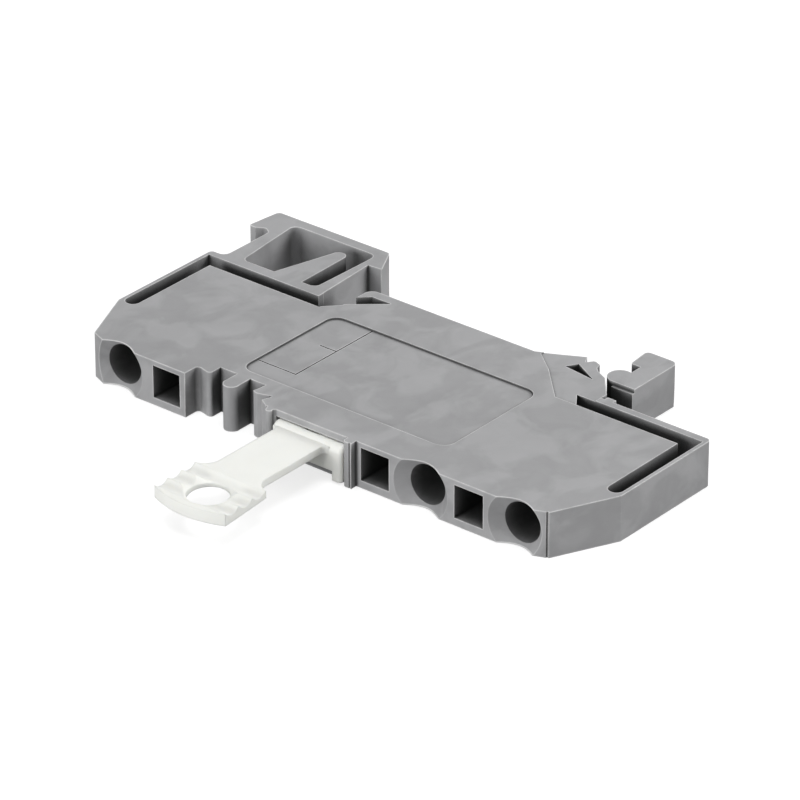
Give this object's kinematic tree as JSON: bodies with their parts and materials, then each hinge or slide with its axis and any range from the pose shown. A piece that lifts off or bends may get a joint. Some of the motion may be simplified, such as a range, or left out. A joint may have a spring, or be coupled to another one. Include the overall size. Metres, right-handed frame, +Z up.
{
  "type": "disconnect terminal block",
  "caption": "Narrow rail-mounted disconnect terminal block with front wire entries, cage clamps and a pull-out link.",
  "frame": {"origin": "under the middle of the block's overall box, link and feet included, on the open side", "axes": "+X along the block, +Y from the wire entries to the rail, +Z up through the thickness"},
  "size_m": [0.0648, 0.0514, 0.005],
  "materials": {
    "grey_plastic": "fine moulded",
    "white_plastic": "smooth moulded",
    "tinned_spring": "tinned",
    "tinned_copper": "tinned",
    "spring_steel": "bright rolled"
  },
  "bodies": {
    "block": {"housing": "grey_plastic", "left_current_bar": "tinned_copper", "right_current_bar": "tinned_copper", "left_cage_clamp": "spring_steel", "middle_cage_clamp": "spring_steel", "outer_cage_clamp": "spring_steel"},
    "link": {"link_carrier": "white_plastic", "link_contact": "tinned_spring"}
  },
  "joints": [
    {"name": "link_pull", "type": "slide", "parent": "block", "child": "link", "axis": [0, -1, 0], "range_m": [0, 0.006]}
  ]
}
